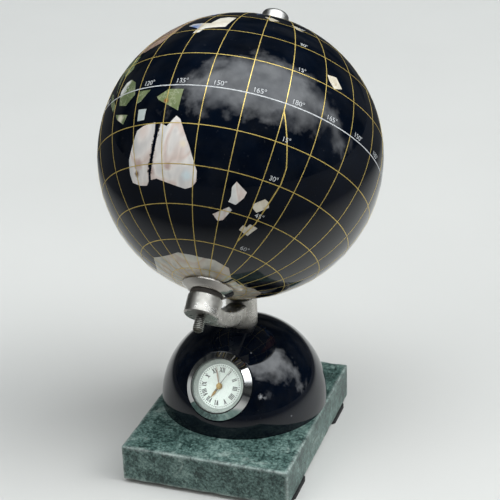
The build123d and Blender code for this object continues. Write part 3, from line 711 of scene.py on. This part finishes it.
def figureOnGlobe(text, longitude, latitude, size):
    bpy.ops.object.text_add()
    writing = bpy.context.object
    writing.data.body = text
    writing.data.size = size
    bpy.ops.object.convert(target="MESH")
    piece = bpy.context.object
    editOp(piece, lambda: bpy.ops.mesh.remove_doubles(threshold=fineWeld),
           lambda: bpy.ops.mesh.quads_convert_to_tris(), lambda: bpy.ops.mesh.subdivide(number_cuts=1))
    across = math.degrees(1 / (globeRadius * math.cos(math.radians(latitude))))
    along = math.degrees(1 / globeRadius)
    for spot in piece.data.vertices:
        spot.co = onGlobe(longitude + (spot.co.x + figures["east"]) * across,
                          latitude + (spot.co.y + figures["above"]) * along, lineRadius)
    return piece


deselectAll()
written = []
for longitude in range(0, 360, mapLines["step"]):
    shown = longitude if longitude <= 180 else 360 - longitude
    written.append(figureOnGlobe(f"{shown}°", longitude, 0, figures["size"]))
for latitude in parallels:
    if 0 < abs(latitude) < mapLines["lastParallel"]:
        for column in figures["columns"]:
            written.append(figureOnGlobe(f"{abs(latitude)}°", column, latitude, figures["parallelSize"]))
degrees = inkLayer(joined("degree_figures", written), figures["depth"])
settle(degrees, globePlace, "globe", whiteInk)
print("map lines and figures printed")


# Dome
domeLow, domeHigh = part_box("dome")
domeTurning = dict(skirt=1.2 * mm, cuts=2, sharp=30)
domeRadius = (domeHigh.x - domeLow.x) / 2
domeCentre = Vector((0, (domeLow.y + domeHigh.y) / 2, domeLow.z + domeTurning["skirt"]))
dome = copyOf("dome", "dome_shell")
trueToBall(dome, domeCentre, domeRadius, domeTurning["cuts"])
settle(dome, asBuilt, "stand", finishOf("dome"), domeTurning["sharp"], ["dome"])

# Bracket, washers, pads and the clock's pieces keep their CAD form, with their facets smoothed
turnedSharp = 30
turnedPieces = {"bracket": "stand", "south_cup": "globe", "thrust_washer": "stand", "top_washer": "stand",
                "top_knob": "stand", "clock_bezel": "clock_insert", "dial_ring": "clock_insert",
                "clock_glass": "clock_insert", "clock_dial": "clock_insert", "clock_case": "clock_insert",
                "case_cover": "clock_insert", "clock_gasket": "clock_insert", "setting_knob": "minute_hand",
                "rubber_feet": "stand", "hour_hand": "hour_hand", "minute_hand": "minute_hand",
                "second_hand": "second_hand"}
for node, body in turnedPieces.items():
    smoothed = copyOf(node, node + "_finished")
    settle(smoothed, asBuilt, body, finishOf(node), turnedSharp, [node])
print("dome and turned pieces finished")

# Axle: plain through the globe, threaded below it
rodPoints = [axlePlace.inverted() @ point.co for point in nodes["axle_rod"].data.vertices]
rodLow = min(point.z for point in rodPoints)
rodHigh = max(point.z for point in rodPoints)
threadTop = rodLow + thread["length"]


def turnedRod(name, outline, steps=64):
    points = [Vector((radius, 0, height)) for radius, height in outline]
    piece = solidPiece(name, points, [], [(index, index + 1) for index in range(len(points) - 1)])
    editOp(piece, lambda: bpy.ops.mesh.spin(steps=steps, angle=2 * math.pi, center=(0, 0, 0), axis=(0, 0, 1)),
           lambda: bpy.ops.mesh.select_all(action="SELECT"),
           lambda: bpy.ops.mesh.remove_doubles(threshold=weld), turnOutward)
    return piece


core = turnedRod("axle_core", [(0, rodLow), (thread["root"] - thread["tipChamfer"], rodLow),
                               (thread["root"], rodLow + thread["tipChamfer"]), (thread["root"], threadTop),
                               (thread["crest"], threadTop), (thread["crest"], rodHigh), (0, rodHigh)])
toothFoot, toothStart = thread["root"] - thread["sunk"], rodLow + thread["tipChamfer"]
tooth = [(toothFoot, 0), (thread["crest"], thread["crestFrom"]), (thread["crest"], thread["crestTo"]),
         (toothFoot, thread["toothEnd"])]
corners = [Vector((radius, 0, toothStart + share * thread["pitch"])) for radius, share in tooth]
helix = solidPiece("axle_helix", corners, [(0, 1, 2, 3)])
screw = helix.modifiers.new("turns", "SCREW")
screw.screw_offset = thread["pitch"]
screw.iterations = int((thread["length"] - thread["tipChamfer"]) / thread["pitch"])
screw.steps = screw.render_steps = thread["steps"]
screw.use_merge_vertices = False
applyAll(helix)
editOp(helix, lambda: bpy.ops.mesh.remove_doubles(threshold=weld), lambda: bpy.ops.mesh.fill_holes(sides=4),
       turnOutward)
axle = joined("axle_threaded", [core, helix])
settle(axle, axlePlace, "stand", finishes["zinc_rod"], stands=["axle_rod"])
print("axle threaded")


# Marble slab: sawn block with worn, chipped edges, counterbored for the tie bolt
slabLow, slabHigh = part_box("marble_slab")
slabWear = dict(edge=0.7 * mm, bevelSteps=3, bevelProfile=0.6, cuts=43, rows=9, boltHole=2.9 * mm,
                counterbore=7.0 * mm, boreDepth=6.0 * mm, pastFace=3.0 * mm, chip=0.35 * mm,
                chipReach=0.84 * mm, chipGrain=160, fineGrain=520, fineShare=0.5, unchipped=0.12,
                wearWidth=1.1 * mm, sharp=40)
bpy.ops.mesh.primitive_cube_add(size=1, location=(slabLow + slabHigh) / 2, scale=slabHigh - slabLow)
slab = named("slab_worn")
bpy.ops.object.transform_apply(location=True, rotation=True, scale=True)


def isUpright(edge):
    first, last = (slab.data.vertices[index].co.z for index in edge.vertices)
    return abs(first - last) > weld


editChosen(slab, "EDGE", lambda edge: not isUpright(edge),
           lambda: bpy.ops.mesh.subdivide(number_cuts=slabWear["cuts"]))
# The rows are wider than the bevel, so that it never folds
editChosen(slab, "EDGE", isUpright, lambda: bpy.ops.mesh.subdivide(number_cuts=slabWear["rows"]))
drillStart, drillEnd = slabLow.z - slabWear["pastFace"], slabHigh.z + slabWear["pastFace"]
boreTop = slabLow.z + slabWear["boreDepth"]
wideBore, narrowBore = slabWear["counterbore"], slabWear["boltHole"]
drill = turnedRod("slab_drill", [(0, drillStart), (wideBore, drillStart), (wideBore, boreTop),
                                 (narrowBore, boreTop), (narrowBore, drillEnd), (0, drillEnd)])
drill.location = (0, domeCentre.y, 0)
cut = slab.modifiers.new("bore", "BOOLEAN")
cut.object = drill
cut.solver = "EXACT"
applyAll(slab)
bpy.data.objects.remove(drill)


def gapsToFaces(spot):
    return [min(spot[axis] - slabLow[axis], slabHigh[axis] - spot[axis]) for axis in range(3)]


def gapToArris(spot):
    return sum(sorted(gapsToFaces(spot))[:2])


onArris = [sorted(gapsToFaces(spot.co))[1] < weld for spot in slab.data.vertices]
editChosen(slab, "EDGE", lambda edge: all(onArris[index] for index in edge.vertices),
           lambda: bpy.ops.mesh.bevel(offset=slabWear["edge"], segments=slabWear["bevelSteps"],
                                      profile=slabWear["bevelProfile"]))
slabMiddle = (slabLow + slabHigh) / 2
for spot in slab.data.vertices:
    if gapToArris(spot.co) < slabWear["chipReach"]:  # only the arrises are chipped
        field = spaceNoise.noise(spot.co * slabWear["chipGrain"])
        field += slabWear["fineShare"] * spaceNoise.noise(spot.co * slabWear["fineGrain"])
        bite = max(0.0, field - slabWear["unchipped"])
        toMiddle = slabMiddle - spot.co
        inward = Vector([math.copysign(1, toMiddle[axis]) if gap < slabWear["chipReach"] else 0
                         for axis, gap in enumerate(gapsToFaces(spot.co))])
        spot.co += inward * bite * slabWear["chip"]
wear = slab.data.attributes.new("edgeWear", "FLOAT", "POINT")
for index, spot in enumerate(slab.data.vertices):
    wear.data[index].value = max(0.0, 1 - gapToArris(spot.co) / slabWear["wearWidth"])
settle(slab, asBuilt, "stand", finishes["marble"], slabWear["sharp"], ["marble_slab"])
print("slab worn")


# Dial print: Roman hours and the minute track
dial = dict(level=0.2 * mm, proud=0.02 * mm, inkDepth=0.03 * mm, numeralHeight=1.9 * mm,
            numeralCentre=6.45 * mm, tickFrom=7.8 * mm, tickTo=8.4 * mm, tickWidth=0.24 * mm,
            hourTickWidth=0.32 * mm)
romanHours = ["XII", "I", "II", "III", "IIII", "V", "VI", "VII", "VIII", "IX", "X", "XI"]
minutes = 60
# Strokes of the letters, as shares of their height
letterWidth = {"I": 0.29, "V": 0.64, "X": 0.66}
strokes = dict(serif=0.08, stem=0.17, stemSerif=0.85, thick=0.22, thin=0.11, wideSerif=0.26, fromLeft=0.14,
               fromRight=0.13, thinInset=0.12, thickFoot=0.03, thinFoot=-0.02)


def bar(bottom, top, width, low=0.0, high=1.0):
    half = width / 2
    return [(bottom - half, low), (bottom + half, low), (top + half, high), (top - half, high)]


def serifs(place, width, ends):
    spans = {"foot": (0, strokes["serif"]), "top": (1 - strokes["serif"], 1)}
    return [bar(place, place, width, *spans[end]) for end in ends]


def letterBars(letter, left):
    wide = letterWidth[letter]
    middle, right = left + wide / 2, left + wide
    thick, thin = strokes["thick"], strokes["thin"]
    if letter == "I":
        stem = bar(middle, middle, strokes["stem"])
        return [stem] + serifs(middle, wide * strokes["stemSerif"], ("foot", "top"))
    leftLeg, rightLeg = left + strokes["fromLeft"], right - strokes["fromRight"]
    tops = serifs(leftLeg, strokes["wideSerif"], ("top",)) + serifs(rightLeg, thick, ("top",))
    if letter == "V":
        legs = [bar(middle + strokes["thickFoot"], leftLeg, thick),
                bar(middle + strokes["thinFoot"], rightLeg, thin)]
        return legs + tops
    feet = serifs(leftLeg, thick, ("foot",)) + serifs(rightLeg, strokes["wideSerif"], ("foot",))
    inset = strokes["thinInset"]
    legs = [bar(right - strokes["fromLeft"], leftLeg, thick), bar(left + inset, right - inset, thin)]
    return legs + tops + feet


def onDial(angle, across, out):
    turn = math.radians(angle)
    return Vector((out * math.sin(turn) + across * math.cos(turn),
                   out * math.cos(turn) - across * math.sin(turn),
                   dial["level"] + dial["proud"]))


spots, patches = [], []


def printPatch(angle, corners):
    patches.append(tuple(range(len(spots), len(spots) + len(corners))))
    spots.extend(onDial(angle, across, out) for across, out in corners)


for hour, text in enumerate(romanHours):
    angle, size = 360 * hour / len(romanHours), dial["numeralHeight"]
    left = -sum(letterWidth[letter] for letter in text) / 2
    for letter in text:
        for corners in letterBars(letter, left):
            printPatch(angle, [(x * size, dial["numeralCentre"] + (y - 0.5) * size) for x, y in corners])
        left += letterWidth[letter]
for minute in range(minutes):
    onHour = minute % (minutes // len(romanHours)) == 0
    width = dial["hourTickWidth"] if onHour else dial["tickWidth"]
    printPatch(360 * minute / minutes, bar(0, 0, width, dial["tickFrom"], dial["tickTo"]))
dialPrint = solidPiece("dial_print", spots, patches)
editOp(dialPrint, turnOutward)
settle(inkLayer(dialPrint, dial["inkDepth"]), clockPlace, "clock_insert", blackInk)
print("dial printed")


# Stage: a pale floor. Mirrors see it pale near the object and dim far off, as the photo's lacquer does
floorLook = dict(width=6.0, tone=(0.57, 0.57, 0.55), patchShade=0.96, patchScale=6.0, rough=0.7,
                 palest=(0, 0.11, 0), fade=(0.12, 0.33), far=(0.03, 0.03, 0.03))
bpy.ops.mesh.primitive_plane_add(size=floorLook["width"])
floor = named("floor")
floorPaint, tree, shader = newMaterial("paleFloor")
patchy = noise(tree, objectPoint(tree), scale=floorLook["patchScale"], detail=4, rough=0.5)
shaded = tuple(channel * floorLook["patchShade"] for channel in floorLook["tone"])
tone = ramp(tree, patchy, (0.3, shaded), (0.7, floorLook["tone"]))
distance = window(tree, awayFrom(tree, floorLook["palest"]), *floorLook["fade"])
mirrored = ramp(tree, distance, (0.0, floorLook["tone"]), (1.0, floorLook["far"]))
path = addNode(tree, "ShaderNodeLightPath")
seen = sums(tree, "MAXIMUM", path.outputs["Is Camera Ray"], path.outputs["Is Transmission Ray"])
tree.links.new(blended(tree, seen, mirrored, tone), shader.inputs["Base Color"])
shader.inputs["Roughness"].default_value = floorLook["rough"]
floor.data.materials.append(floorPaint)

# World: dim surroundings and one wide soft light overhead, with ragged edges
room = dict(aim=(0.34, -0.05, 0.94), across=(0.94, 0.34, 0.0), wide=0.86, deep=0.50, light=(4.3, 4.5, 4.65),
            dim=(0.010, 0.012, 0.014), pale=(0.085, 0.088, 0.085))
world = bpy.data.worlds.new("softRoom")
bpy.context.scene.world = world
world.use_nodes = True
tree = world.node_tree
around = addNode(tree, "ShaderNodeTexCoord").outputs["Generated"]
lightAim = Vector(room["aim"]).normalized()
lightAcross = (Vector(room["across"]) - lightAim * lightAim.dot(Vector(room["across"]))).normalized()
reach = addNode(tree, "ShaderNodeCombineXYZ")
lightSpans = (lightAcross / room["wide"], lightAim.cross(lightAcross) / room["deep"])
for socket, span in zip(reach.inputs, lightSpans):
    tree.links.new(vectorSums(tree, "DOT_PRODUCT", around, span), socket)
fromMiddle = vectorSums(tree, "LENGTH", reach.outputs[0])
torn = noise(tree, around, scale=5.0, detail=5, rough=0.6)
ragged = sums(tree, "ADD", fromMiddle, window(tree, torn, 0.2, 0.8, outLow=-0.3, outHigh=0.3))
clouds = window(tree, noise(tree, around, scale=3.2, detail=4, rough=0.6), 0.3, 0.62, outLow=0.5)
glow = sums(tree, "MULTIPLY", window(tree, ragged, 1.05, 0.62), clouds)
uneven = noise(tree, around, scale=3.4, detail=4, rough=0.6)
surroundings = ramp(tree, uneven, (0.42, room["dim"]), (0.72, room["pale"]))
tree.links.new(blended(tree, glow, surroundings, room["light"]), tree.nodes["Background"].inputs["Color"])

# Lamps, out of sight of the lacquer, which mirrors the light overhead instead
lampAim = Vector((0, 0, 0.06))
lamps = {"keyLamp": dict(place=(0.95, 0.05, 1.0), size=0.9, power=8.0, colour=(1.0, 0.99, 0.97)),
         "fillLamp": dict(place=(-0.75, -1.0, 0.8), size=1.2, power=8.0, colour=(1.0, 0.99, 0.98))}
for name, look in lamps.items():
    bpy.ops.object.light_add(type="AREA", location=look["place"])
    lamp = bpy.context.object
    lamp.name = name
    lamp.data.size = look["size"]
    lamp.data.energy = look["power"]
    lamp.data.color = look["colour"]
    lamp.rotation_euler = (lampAim - Vector(look["place"])).to_track_quat("-Z", "Y").to_euler()
    lamp.visible_glossy = False

# Camera, as fitted to the photo
photoView = dict(place=(0.17506, -0.48691, 0.32294), aim=(0.0035, -0.00256, 0.08219), roll=-1.877,
                 lens=103.56, sensor=36.0)
bpy.ops.object.camera_add(location=photoView["place"])
camera = bpy.context.object
camera.data.sensor_width = photoView["sensor"]
camera.data.lens = photoView["lens"]
ahead = Vector(photoView["aim"]) - Vector(photoView["place"])
turn = ahead.to_track_quat("-Z", "Y").to_matrix() @ Matrix.Rotation(math.radians(photoView["roll"]), 3, "Z")
camera.rotation_euler = turn.to_euler()
bpy.context.scene.camera = camera
bpy.context.scene.view_settings.view_transform = "Standard"
print("stage set")
